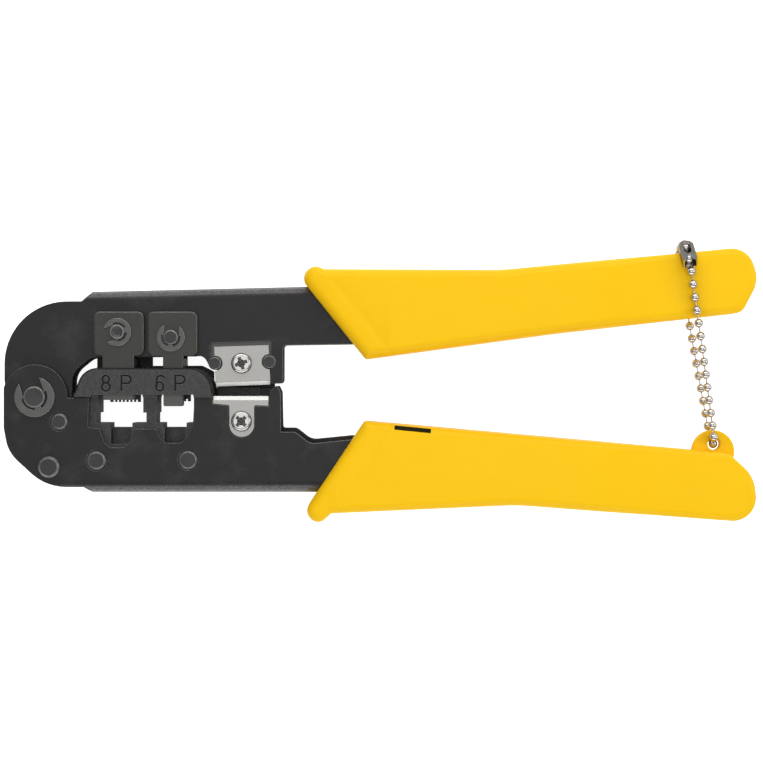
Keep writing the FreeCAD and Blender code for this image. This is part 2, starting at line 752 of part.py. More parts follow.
def contact_comb(die):
    """The row of narrow blades that drives each contact of the plug into its wire."""
    root = sum(die.neck) / 2
    root_half = min(comb_half_width(die), (die.neck[1] - die.neck[0]) / 2)
    middle = sum(die.cavity) / 2
    half = comb_half_width(die)
    in_neck = block(root - root_half, root + root_half, COMB_SHOULDER_Y - 0.2, NECK_BOTTOM_Y + 3, -6.2, -4.4)
    below = block(middle - half, middle + half, die.comb_y, COMB_SHOULDER_Y, -6.2, -4.4)
    comb = join(in_neck, below)
    gap = CONTACT_PITCH - TOOTH_WIDTH
    first = middle - (die.contacts - 2) * CONTACT_PITCH / 2
    cuts = []
    for i in range(die.contacts - 1):
        x = first + i * CONTACT_PITCH
        cuts.append(block(x - gap / 2, x + gap / 2, die.comb_y - 1, die.comb_y + TOOTH_LENGTH, -7, -3))
    return comb.cut(cuts)


def cable_punch(die):
    """The bright bar that presses the plug's strain relief onto the cable."""
    shoe = plate([
        (die.neck[0] + 0.1, die.punch_y, 0.5),
        (die.neck[1] - 0.1, die.punch_y, 0.5),
        (die.neck[1] - 0.1, NECK_BOTTOM_Y),
        (die.neck[0] + 0.1, NECK_BOTTOM_Y),
    ], 2.6, 6.5)
    stem = block(die.neck[0] + 0.8, die.neck[1] - 0.8, NECK_BOTTOM_Y - 0.1, NECK_BOTTOM_Y + 2, 3.2, 5.6)
    return join(shoe, stem)


def plunger_pin(die):
    return retained_pin(die.pin, PLUNGER_PIN_R, CHEEK_OUTER, 3.2, CHEEK_OUTER, die is DIE_8P)


# ---------------------------------------------------------------- return spring


def rod(start, end, radius):
    run = end - start
    return Part.makeCylinder(radius, run.Length, start, run)


def on_coil(degrees, z):
    turn = math.radians(degrees)
    return vec(PIVOT[0] + SPRING_R * math.cos(turn), PIVOT[1] + SPRING_R * math.sin(turn), z)


def return_spring():
    """A torsion spring round the pivot: one leg bears on the post, the other under the arm's fold."""
    turns = SPRING_TURNS + (SPRING_END - SPRING_START) / 360.0
    pitch = 2 * SPRING_HALF / turns
    coil = Part.Wire(Part.makeHelix(pitch, 2 * SPRING_HALF, SPRING_R).Edges)
    section = Part.Wire([Part.Circle(vec(SPRING_R, 0, 0), vec(0, 1, 0), SPRING_WIRE_R).toShape()])
    winding = coil.makePipeShell([section], True, True)
    winding.rotate(vec(0, 0, 0), vec(0, 0, 1), SPRING_START)
    winding.translate(vec(PIVOT[0], PIVOT[1], -SPRING_HALF))
    low = on_coil(SPRING_START, -SPRING_HALF)
    high = on_coil(SPRING_END, SPRING_HALF)
    low_tip = vec(-84.4, -22.6, -SPRING_HALF)
    high_tip = vec(-77.4, 21.6, SPRING_HALF)
    return join(
        winding,
        rod(low, low_tip, SPRING_WIRE_R),
        rod(high, high_tip, SPRING_WIRE_R),
        Part.makeSphere(SPRING_WIRE_R, low),
        Part.makeSphere(SPRING_WIRE_R, high),
    )


# ---------------------------------------------------------------- grips


def grip_depth_profile():
    """Limits both grips in depth: full in the palm, thinner at the chain end."""
    side = ((-24.0, GRIP_FRONT_HALF), (5.0, HALF_DEPTH), (55.0, HALF_DEPTH),
            (76.0, GRIP_END_HALF), (105.0, GRIP_END_HALF))
    outline = [vec(x, -60, z) for x, z in side] + [vec(x, -60, -z) for x, z in reversed(side)]
    return extruded(Part.makePolygon(outline + [outline[0]]), vec(0, 120, 0))


def grip_body(points, rounding):
    body = plate(points, -HALF_DEPTH - 1, HALF_DEPTH + 1).common(grip_depth_profile())

    def face_rim(p, e):
        level = abs(e.tangentAt(e.FirstParameter).z) < 0.5
        return abs(p.z) > GRIP_END_HALF - 0.1 and level and not crosses(e)

    def crosses(e):
        ends = [v.Point for v in e.Vertexes]
        return len(ends) == 2 and abs(ends[0].x - ends[1].x) < 0.01 and ends[0].distanceToPoint(ends[1]) > 8

    return fillet_where(body, rounding, face_rim)


def upper_grip():
    body = grip_body([
        (-21.5, 29.0, 3.0),
        (-17.5, 32.2, 3.0),
        (-15.0, 30.95, 0.5),
        (32.0, 30.75, 60.0),
        (97.4, 37.0, 6.0),
        (100.7, 28.2, 8.0),
        (96.1, 19.5, 3.0),
        (47.3, 14.05, 60.0),
        (-4.0, 7.1, 1.2),
    ], UPPER_GRIP_ROUNDING)
    return body.cut(arm_block())


def lower_grip():
    body = grip_body([
        (-4.3, -9.3, 1.2),
        (82.5, -17.0, 60.0),
        (92.6, -17.9, 6.0),
        (99.2, -24.0, 9.0),
        (100.55, -36.44, 6.2),
        (36.0, -31.5, 60.0),
        (-13.0, -33.7, 0.5),
        (-16.6, -37.0, 2.7),
        (-20.3, -33.3, 3.0),
    ], LOWER_GRIP_ROUNDING)
    tab = disc(EYELET_TAB, EYELET_TAB_R, -EYELET_TAB_HALF, EYELET_TAB_HALF)
    vent = block(3.75, 13.4, -12.6, -10.9, 6.4, HALF_DEPTH + 1)
    vent.rotate(vec(8.5, -11.5, 0), vec(0, 0, 1), -5.6)
    eyelet = disc(EYELET, EYELET_HOLE_R, -9, 9)
    return join(body, tab).cut([base_block(), vent, eyelet])


# ---------------------------------------------------------------- ball chain


def on_chain(s, z):
    """A point of the chain's plane: s along the chain from the eyelet, z from the mid-plane."""
    return vec(EYELET[0] - s * math.sin(CHAIN_LEAN), EYELET[1] + s * math.cos(CHAIN_LEAN), z)


def tangent_path(points):
    """Straight runs joined by tangent arcs, each as large as its two runs allow."""
    edges = []
    here = points[0]
    for before, corner, after in zip(points, points[1:], points[2:]):
        back = before - corner
        on = after - corner
        turn = math.pi - back.getAngle(on)
        reach = 0.45 * min(back.Length, on.Length)
        radius = reach / math.tan(turn / 2)
        back.normalize()
        on.normalize()
        start = corner + back * reach
        end = corner + on * reach
        middle = corner + (back + on).normalize() * (radius / math.cos(turn / 2) - radius)
        edges.append(Part.LineSegment(here, start).toShape())
        edges.append(Part.Arc(start, middle, end).toShape())
        here = end
        print("chain bend radius %.2f mm" % radius)
    edges.append(Part.LineSegment(here, points[-1]).toShape())
    return Part.Wire(edges)


def keeper_chain():
    """The envelope of the ball chain, from one end of its connector round to the other."""
    points = [on_chain(s, z) for s, z in CHAIN_ROUTE]
    path = tangent_path(points)
    along = points[1] - points[0]
    section = Part.Wire([Part.Circle(points[0], along, CHAIN_R).toShape()])
    tube = path.makePipeShell([section], True, True)
    swept = math.pi * CHAIN_R ** 2 * path.Length
    print("chain length %.1f mm, volume %.1f of %.1f mm3" % (path.Length, tube.Volume, swept))
    return tube


def chain_connector():
    """The clasp that closes the loop: a folded sleeve with a slot for a bead and a V-shaped mouth."""
    low = on_chain(*CHAIN_ROUTE[0])
    high = on_chain(*CHAIN_ROUTE[-1])
    middle = (low + high) / 2
    half = CONNECTOR_LENGTH / 2
    r = CONNECTOR_WIDTH / 2
    roof = CONNECTOR_DEPTH / 2
    end_r = r - 0.05
    shell = plate([(-half, -r, 0.9), (half, -r, end_r), (half, r, end_r), (-half, r, 0.9)], -roof, roof)
    inner = r - CONNECTOR_WALL
    closed_end = half - CONNECTOR_WALL
    hollow = plate([(-half - 1, -inner), (closed_end, -inner, inner - 0.05),
                    (closed_end, inner, inner - 0.05), (-half - 1, inner)],
                   -roof + CONNECTOR_WALL, roof - CONNECTOR_WALL)
    slot_r = 0.95
    slot = plate([(-0.9, -slot_r, slot_r - 0.02), (closed_end - 0.35, -slot_r, slot_r - 0.02),
                  (closed_end - 0.35, slot_r, slot_r - 0.02), (-0.9, slot_r, slot_r - 0.02)], 0, roof + 1)
    mouth = plate([(-half - 1, -inner - 0.5), (-1.5, -0.3, 0.2), (-1.5, 0.3, 0.2), (-half - 1, inner + 0.5)],
                  0, roof + 1)
    clasp = shell.cut([hollow, slot, mouth])
    along = (high - low).normalize()
    across = vec(math.cos(CHAIN_LEAN), math.sin(CHAIN_LEAN), 0)
    outward = along.cross(across)
    if outward.z < 0:
        outward = outward * -1
    side = outward.cross(along)
    placing = FreeCAD.Matrix(
        along.x, side.x, outward.x, middle.x,
        along.y, side.y, outward.y, middle.y,
        along.z, side.z, outward.z, middle.z,
        0, 0, 0, 1)
    clasp.Placement = FreeCAD.Placement(placing)
    return clasp


# ---------------------------------------------------------------- assembly


def main():
    os.makedirs("parts", exist_ok=True)
    write("lower_frame", lower_frame())
    write("die_block", die_block())
    write("die_block_rivets", die_block_rivets())
    write("spring_post", spring_post())
    write("pivot_pin", retained_pin(PIVOT, PIVOT_PIN_R, BASE_OUTER, PIVOT_HEAD_R, BASE_OUTER, False))
    write("pivot_e_clip", e_clip(PIVOT, PIVOT_PIN_R, PIVOT_CLIP_R, BASE_OUTER, 108.0))
    write("lower_blade", lower_blade())
    write("lower_blade_screw", pan_screw(LOWER_BLADE_SCREW, BASE_INNER + LOWER_BLADE_THICK, -0.5, 45.0))
    write("return_spring", return_spring())
    write("lower_grip", lower_grip())
    write("upper_frame", upper_frame())
    write("blade_block", blade_block())
    write("blade_rivets", blade_rivets())
    write("upper_blade", upper_blade())
    write("upper_blade_screw", pan_screw(UPPER_BLADE_SCREW, ARM_OUTER, -2.5, 20.0))
    write("upper_grip", upper_grip())
    write("keeper_chain", keeper_chain())
    write("chain_connector", chain_connector())
    for die, mouth in ((DIE_8P, 195.0), (DIE_6P, 85.0)):
        write("plunger_" + die.name, plunger(die))
        write("contact_comb_" + die.name, contact_comb(die))
        write("cable_punch_" + die.name, cable_punch(die))
        write("plunger_pin_" + die.name, plunger_pin(die))
        write("plunger_e_clip_" + die.name,
              e_clip(die.pin, PLUNGER_PIN_R, PLUNGER_CLIP_R, CHEEK_OUTER, mouth))


main()
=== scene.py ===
"""Looks of the modular-plug crimping tool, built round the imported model.

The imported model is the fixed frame. This script dresses its nodes, replaces the two plain grips and the plain
chain with finished pieces, and sets the camera, the floor and the lights. The scene is in metres. The sizes of
pieces are written in millimetres and turned into metres by MM.
"""

import logging
import math
from dataclasses import dataclass, field
from enum import Enum
from typing import Any

import bmesh
import bpy
from mathutils import Matrix, Vector

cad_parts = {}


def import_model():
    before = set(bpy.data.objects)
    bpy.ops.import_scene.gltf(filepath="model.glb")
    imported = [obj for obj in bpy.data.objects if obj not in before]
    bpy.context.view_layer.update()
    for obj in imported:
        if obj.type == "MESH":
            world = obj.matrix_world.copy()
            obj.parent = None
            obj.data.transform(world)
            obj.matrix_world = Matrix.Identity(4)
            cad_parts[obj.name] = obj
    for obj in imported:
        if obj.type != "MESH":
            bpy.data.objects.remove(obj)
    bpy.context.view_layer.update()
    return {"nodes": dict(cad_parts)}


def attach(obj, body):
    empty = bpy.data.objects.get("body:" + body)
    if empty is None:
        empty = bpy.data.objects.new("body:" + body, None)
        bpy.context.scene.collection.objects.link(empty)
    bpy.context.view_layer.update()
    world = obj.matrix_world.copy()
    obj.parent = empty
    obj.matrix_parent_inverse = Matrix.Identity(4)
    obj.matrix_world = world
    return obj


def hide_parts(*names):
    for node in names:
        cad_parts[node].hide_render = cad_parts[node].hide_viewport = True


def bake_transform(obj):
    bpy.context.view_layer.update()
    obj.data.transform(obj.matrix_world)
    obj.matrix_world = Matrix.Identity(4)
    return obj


LOG = logging.getLogger("crimping_tool")
MM = 0.001
MID_PLANE = 10.0 * MM

MERGE_REACH = 0.002 * MM
CUT_REACH = 1e-7

Point2 = tuple[float, float]
Point3 = tuple[float, float, float]
Colour = tuple[float, float, float]


class Signal:
    """One value socket that can be used in a Python expression; each operation adds a Math node."""

    def __init__(self, bench: "Bench", socket: bpy.types.NodeSocket) -> None:
        """Wraps a socket of the bench's node tree."""
        self.bench = bench
        self.socket = socket

    def _math(self, operation: str, first: Any, second: Any = 0.0) -> "Signal":
        """Adds one Math node.

        Args:
            operation: the node's operation.
            first: its first value, a Signal or a number.
            second: its second value.

        Returns:
            The node's result.
        """
        node = self.bench.node("ShaderNodeMath", {"operation": operation}, {0: first, 1: second})
        return Signal(self.bench, node.outputs[0])

    def __add__(self, other: Any) -> "Signal":
        """self + other."""
        return self._math("ADD", self, other)

    def __radd__(self, other: Any) -> "Signal":
        """other + self."""
        return self._math("ADD", other, self)

    def __sub__(self, other: Any) -> "Signal":
        """self - other."""
        return self._math("SUBTRACT", self, other)

    def __rsub__(self, other: Any) -> "Signal":
        """other - self."""
        return self._math("SUBTRACT", other, self)

    def __mul__(self, other: Any) -> "Signal":
        """self * other."""
        return self._math("MULTIPLY", self, other)

    def __rmul__(self, other: Any) -> "Signal":
        """other * self."""
        return self._math("MULTIPLY", other, self)

    def __gt__(self, other: Any) -> "Signal":
        """1 where self is above other."""
        return self._math("GREATER_THAN", self, other)

    def __lt__(self, other: Any) -> "Signal":
        """1 where self is below other."""
        return self._math("LESS_THAN", self, other)

    def magnitude(self) -> "Signal":
        """self without its sign."""
        return self._math("ABSOLUTE", self)

    def around(self, reach: float) -> "Signal":
        """A pattern from 0 to 1 made to swing round zero, reach from its lowest to its highest."""
        return (self - 0.5) * reach

    def clamped(self) -> "Signal":
        """self held between 0 and 1."""
        return self._math("MINIMUM", self._math("MAXIMUM", self, 0.0), 1.0)


class Bench:
    """Makes one node material: a shader, its output and whatever feeds them."""

    BEVEL_SAMPLES = 6
    EDGE_CONTRAST = 4.0

    def __init__(self, name: str) -> None:
        """Starts a material with a bare Principled shader.

        Args:
            name: the material's name.
        """
        self.material = bpy.data.materials.new(name)
        self.material.use_nodes = True
        self.tree = self.material.node_tree
        self.tree.nodes.clear()
        self.shader = self.node("ShaderNodeBsdfPrincipled")
        self.node("ShaderNodeOutputMaterial", inputs={"Surface": self.shader.outputs[0]})
        self.place = self.node("ShaderNodeTexCoord").outputs["Object"]

    def node(self, kind: str, settings: dict[str, Any] | None = None,
             inputs: dict[Any, Any] | None = None) -> bpy.types.Node:
        """Adds any node.

        Args:
            kind: the node's type.
            settings: its properties, set first; "stops" are a ramp's (place, colour) pairs.
            inputs: the values or links of its sockets.

        Returns:
            The node.
        """
        node = self.tree.nodes.new(kind)
        for key, value in (settings or {}).items():
            if key == "stops":
                ramp = node.color_ramp
                while len(ramp.elements) < len(value):
                    ramp.elements.new(1.0)
                for element, (place, colour) in zip(ramp.elements, value):
                    element.position = place
                    element.color = colour
            else:
                setattr(node, key, value)
        for key, value in (inputs or {}).items():
            source = value.socket if isinstance(value, Signal) else value
            if isinstance(source, bpy.types.NodeSocket):
                self.tree.links.new(source, node.inputs[key])
            else:
                node.inputs[key].default_value = source
        return node

    def part(self, vector: bpy.types.NodeSocket, name: str) -> Signal:
        """The X, Y or Z of a vector."""
        split = self.node("ShaderNodeSeparateXYZ", inputs={0: vector})
        return Signal(self, split.outputs[name])

    def axis(self, name: str) -> Signal:
        """The X, Y or Z of the surface point, in metres."""
        return self.part(self.place, name)

    def facing(self) -> Signal:
        """How squarely the surface faces front or back: 1 on the flat plates, 0 on their side walls."""
        return self.part(self.node("ShaderNodeTexCoord").outputs["Normal"], "Z").magnitude()

    def rounded(self, radius: float) -> bpy.types.NodeSocket:
        """The surface's direction with its edges rounded to a radius in metres."""
        return self.node("ShaderNodeBevel", {"samples": self.BEVEL_SAMPLES}, {"Radius": radius}).outputs[0]

    def edges(self, radius: float) -> Signal:
        """A thin line along every edge, from 0 on open surface to 1 at the edge.

        Args:
            radius: how far the line reaches, in metres.

        Returns:
            The line's strength.
        """
        flat = self.node("ShaderNodeNewGeometry").outputs["Normal"]
        same = self.node("ShaderNodeVectorMath", {"operation": "DOT_PRODUCT"},
                         {0: self.rounded(radius), 1: flat})
        return ((1.0 - Signal(self, same.outputs["Value"])) * self.EDGE_CONTRAST).clamped()

    def noise(self, size: float, detail: float = 3.0, stretch: Point3 = (1, 1, 1)) -> Signal:
        """Soft random variation.

        Args:
            size: the size of one patch, in metres.
            detail: how many finer layers it has.
            stretch: how much finer it is along each axis.

        Returns:
            A value from 0 to 1.
        """
        mapped = self.node("ShaderNodeMapping", inputs={"Vector": self.place, "Scale": stretch})
        texture = self.node("ShaderNodeTexNoise", inputs={
            "Vector": mapped.outputs[0], "Scale": 1.0 / size, "Detail": detail})
        return Signal(self, texture.outputs["Fac"])

    def pits(self, size: float) -> Signal:
        """Distance from the middle of scattered cells of that size, from 0 to about 1."""
        texture = self.node("ShaderNodeTexVoronoi", inputs={"Vector": self.place, "Scale": 1.0 / size})
        return Signal(self, texture.outputs["Distance"])

    def mixed(self, share: Signal, low: Any, high: Any) -> bpy.types.NodeSocket:
        """A colour between two others.

        Args:
            share: how much of the second shows, from 0 to 1.
            low: the first, a colour or a socket.
            high: the second.

        Returns:
            The colour's socket.
        """
        top = high if isinstance(high, bpy.types.NodeSocket) else (*high, 1.0)
        bottom = low if isinstance(low, bpy.types.NodeSocket) else (*low, 1.0)
        node = self.node("ShaderNodeMix", {"data_type": "RGBA"}, {0: share, 6: bottom, 7: top})
        return node.outputs[2]

    def feed(self, name: str, value: Any) -> None:
        """Sets or links one socket of the shader.

        Args:
            name: the socket's name.
            value: a Signal, a socket or a constant.
        """
        source = value.socket if isinstance(value, Signal) else value
        if isinstance(source, bpy.types.NodeSocket):
            self.tree.links.new(source, self.shader.inputs[name])
        else:
            self.shader.inputs[name].default_value = source

    def bump(self, height: Signal, depth: float, strength: float = 1.0, rim: float = 0.0) -> None:
        """Raises the surface and softens its sharp edges.

        Args:
            height: the pattern, from 0 to 1.
            depth: how far the pattern stands up, in metres.
            strength: how much of it shows.
            rim: the radius of the broken edges, in metres, or 0 for none.
        """
        inputs: dict[Any, Any] = {"Height": height, "Distance": depth, "Strength": strength}
        if rim:
            inputs["Normal"] = self.rounded(rim)
        self.feed("Normal", self.node("ShaderNodeBump", inputs=inputs).outputs[0])


@dataclass(frozen=True)
class Vent:
    """The narrow slot in the lower grip's front face, in millimetres from the mid-plane."""

    middle: Point2 = (8.5, -11.4)
    size: Point2 = (9.65, 1.15)
    lean: float = math.radians(-5.6)
    floor: float = 6.4
    # How far the slot's painted shade reaches above and below its floor, in millimetres.
    dark_above: float = 1.6
    dark_below: float = 0.5
    slack: float = 0.04

    def mask(self, bench: Bench) -> Signal:
        """1 inside the slot, where its shade is painted, and 0 on the rest of the grip."""
        x = bench.axis("X") - self.middle[0] * MM
        y = bench.axis("Y") - self.middle[1] * MM
        along = (x * math.cos(self.lean) + y * math.sin(self.lean)).magnitude()
        across = (y * math.cos(self.lean) - x * math.sin(self.lean)).magnitude()
        deep = bench.axis("Z")
        level = deep < MID_PLANE + (self.floor + self.dark_above) * MM
        level = level * (deep > MID_PLANE + (self.floor - self.dark_below) * MM)
        half_length, half_width = ((side / 2 + self.slack) * MM for side in self.size)
        return (along < half_length) * (across < half_width) * level


VENT = Vent()


@dataclass(frozen=True)
class MouldedPlastic:
    """Satin moulded plastic with faint flow marks, a fine spark-eroded texture and painted shade inside the
    lower grip's slot.
    """

    name: str
    colour: Colour
    shade: Colour
    roughness: float = 0.36
    painted_vent_shade: Colour = (0.008, 0.007, 0.006)

    def make(self) -> bpy.types.Material:
        """Returns the material."""
        bench = Bench(self.name)
        flow = bench.noise(18 * MM, 3.0, (1.0, 2.6, 1.0))
        scuff = bench.noise(2.2 * MM, 5.0, (0.4, 1.6, 1.0))
        skin = bench.mixed(flow * 0.5, self.colour, self.shade)
        # The slot's floor and walls take a near-black colour: painted shade inside the slot.
        bench.feed("Base Color", bench.mixed(VENT.mask(bench), skin, self.painted_vent_shade))
        bench.feed("Roughness", self.roughness + scuff.around(0.16))
        bench.feed("Specular IOR Level", 0.3)
        bench.feed("Specular Tint", (1.0, 0.9, 0.35, 1.0))
        bench.feed("Subsurface Weight", 0.03)
        bench.feed("Subsurface Radius", (0.004, 0.002, 0.0005))
        bench.bump(bench.noise(0.35 * MM, 2.0), 0.02 * MM, 0.5)
        return bench.material


@dataclass(frozen=True)
class OxideSteel:
    """Pressed steel with a black oxide finish: mottled, a little oily, paler with wear, and painted paler on
    its bends and edges, a painted highlight along with wear.
    """

    name: str
    colour: Colour
    rubbed_and_lit: Colour
    roughness: float = 0.42

    METALLIC = 0.7
    GRAIN_DEPTH = 0.03 * MM
    RIM = 0.3 * MM
    WALL_FACING = 0.3
    BEND_CONTRAST = 2.4
    CLOUD_START = 0.52
    CLOUD_CONTRAST = 3.5
    SPECK_CONTRAST = 1.2
    HANDLING_WEAR = 0.09
    EDGE_WEAR_AND_HIGHLIGHT = 0.85

    def make(self) -> bpy.types.Material:
        """Returns the material."""
        bench = Bench(self.name)
        cloud = bench.noise(9 * MM, 4.0)
        speck = bench.noise(0.5 * MM, 3.0)
        facing = bench.facing()
        # Bends and edges are painted paler: a painted highlight, along with wear of the oxide.
        bend = ((1.0 - facing) * self.BEND_CONTRAST).clamped() * (facing > self.WALL_FACING)
        patches = (cloud - self.CLOUD_START) * self.CLOUD_CONTRAST + speck.around(self.SPECK_CONTRAST)
        wear_and_highlight = patches.clamped() * self.HANDLING_WEAR
        wear_and_highlight = wear_and_highlight + bend * (speck * 1.5 - 0.15) + bench.edges(self.RIM) * self.EDGE_WEAR_AND_HIGHLIGHT
        bench.feed("Base Color", bench.mixed(wear_and_highlight.clamped(), self.colour, self.rubbed_and_lit))
        bench.feed("Metallic", self.METALLIC)
        bench.feed("Roughness", self.roughness + cloud.around(0.22) + speck.around(0.12))
        bench.bump(speck, self.GRAIN_DEPTH, 0.6, self.RIM)
        return bench.material


@dataclass(frozen=True)
class CastSteel:
    """A dark investment casting: a coarse grain of small pits, darker engraved marks, and edges painted paler,
    a painted highlight along with wear.
    """

    name: str
    colour: Colour
    pit_colour: Colour
    mark_floor: float
    mark_low: float

    WORN_AND_LIT_EDGE = (0.2, 0.2, 0.2)
    MARK = (0.004, 0.004, 0.004)
    MARK_BELOW = 0.02 * MM
    MARK_ABOVE = 0.3 * MM
    RIM = 0.3 * MM
    PIT_DEPTH = 0.09 * MM

    def make(self) -> bpy.types.Material:
        """Returns the material."""
        bench = Bench(self.name)
        grain = bench.noise(0.55 * MM, 5.0)
        pits = bench.pits(0.9 * MM)
        rough = (grain * 0.7 + pits * 0.5).clamped()
        height = bench.axis("Z")
        mark = (height > self.mark_floor - self.MARK_BELOW) * (height < self.mark_floor + self.MARK_ABOVE)
        mark = mark * (bench.axis("Y") > self.mark_low)
        cast = bench.mixed(rough, self.pit_colour, self.colour)
        # Edges are painted paler: a painted highlight, along with wear.
        rubbed_and_lit = bench.mixed(bench.edges(self.RIM) * 0.5, cast, self.WORN_AND_LIT_EDGE)
        bench.feed("Base Color", bench.mixed(mark, rubbed_and_lit, self.MARK))
        bench.feed("Metallic", 0.45)
        bench.feed("Roughness", 0.5 + grain.around(0.25))
        bench.bump(rough, self.PIT_DEPTH, 0.9, self.RIM)
        return bench.material


class Grain(Enum):
    """Which way a ground surface was ground."""

    ALONG = (0.12, 3.0, 3.0)
    ACROSS = (3.0, 0.12, 3.0)


@dataclass(frozen=True)
class GroundSteel:
    """Bare ground steel with fine lines along its grain."""

    name: str
    colour: Colour
    grain: Grain
    roughness: float = 0.3

    SHADE = 0.72
    LINE_DEPTH = 0.012 * MM
    RIM = 0.2 * MM

    def make(self) -> bpy.types.Material:
        """Returns the material."""
        bench = Bench(self.name)
        lines = bench.noise(0.45 * MM, 4.0, self.grain.value)
        cloud = bench.noise(5 * MM, 3.0)
        darker = tuple(value * self.SHADE for value in self.colour)
        bench.feed("Base Color", bench.mixed((lines * 0.7 + cloud * 0.4).clamped(), darker, self.colour))
        bench.feed("Metallic", 0.9)
        bench.feed("Roughness", self.roughness + lines.around(0.24))
        bench.bump(lines, self.LINE_DEPTH, 0.5, self.RIM)
        return bench.material


@dataclass(frozen=True)
class PlatedMetal:
    """Bright plate with a faint haze, and painted shade in the recesses of screws.

    A recess is the X and Y of its screw and the height of the head above the mid-plane, in millimetres.
    """

    name: str
    colour: Colour
    roughness: float = 0.16
    recesses: tuple[Point3, ...] = ()

    SHADE = 0.8
    TINT = (0.5, 0.48, 0.46, 1.0)
    HAZE_DEPTH = 0.008 * MM
    RECESS_REACH = 1.8 * MM
    RECESS_START = 0.06
    RECESS_SHADE = (0.02, 0.02, 0.02)
    RECESS_SHADE_SHARE = 0.9

    def make(self) -> bpy.types.Material:
        """Returns the material."""
        bench = Bench(self.name)
        haze = bench.noise(1.3 * MM, 4.0)
        darker = tuple(value * self.SHADE for value in self.colour)
        plate = bench.mixed(haze, darker, self.colour)
        for x, y, top in self.recesses:
            aside = bench.axis("X") - x * MM
            up = bench.axis("Y") - y * MM
            near = (aside * aside + up * up) < self.RECESS_REACH ** 2
            sunk = near * (bench.axis("Z") < MID_PLANE + (top - self.RECESS_START) * MM)
            # Darkens each screw's cross recess: painted shade.
            plate = bench.mixed(sunk * self.RECESS_SHADE_SHARE, plate, self.RECESS_SHADE)
        bench.feed("Base Color", plate)
        bench.feed("Metallic", 1.0)
        bench.feed("Specular Tint", self.TINT)
        bench.feed("Roughness", self.roughness + haze.around(0.12))
        bench.bump(haze, self.HAZE_DEPTH, 0.4)
        return bench.material


def finished(mesh: bmesh.types.BMesh, name: str, material: bpy.types.Material,
             sharp: float = 40.0) -> bpy.types.Object:
    """Turns a bmesh into a shaded object at the origin.

    Args:
        mesh: the finished shape, in place.
        name: the piece's name.
        material: its finish.
        sharp: the angle, in degrees, past which an edge stays sharp.

    Returns:
        The object.
    """
    for face in mesh.faces:
        face.smooth = True
    limit = math.radians(sharp)
    for edge in mesh.edges:
        edge.smooth = not edge.is_manifold or edge.calc_face_angle(0.0) < limit
    data = bpy.data.meshes.new(name)
    mesh.to_mesh(data)
    mesh.free()
    data.materials.append(material)
    piece = bpy.data.objects.new(name, data)
    bpy.context.scene.collection.objects.link(piece)
    return piece


def cut(mesh: bmesh.types.BMesh, place: Vector, across: Vector) -> None:
    """Adds edges to a bmesh where a plane crosses it.

    Args:
        mesh: the bmesh.
        place: a point of the plane, in millimetres.
        across: the plane's direction.
    """
    everything = mesh.verts[:] + mesh.edges[:] + mesh.faces[:]
    bmesh.ops.bisect_plane(mesh, geom=everything, dist=CUT_REACH, plane_co=place * MM, plane_no=across)


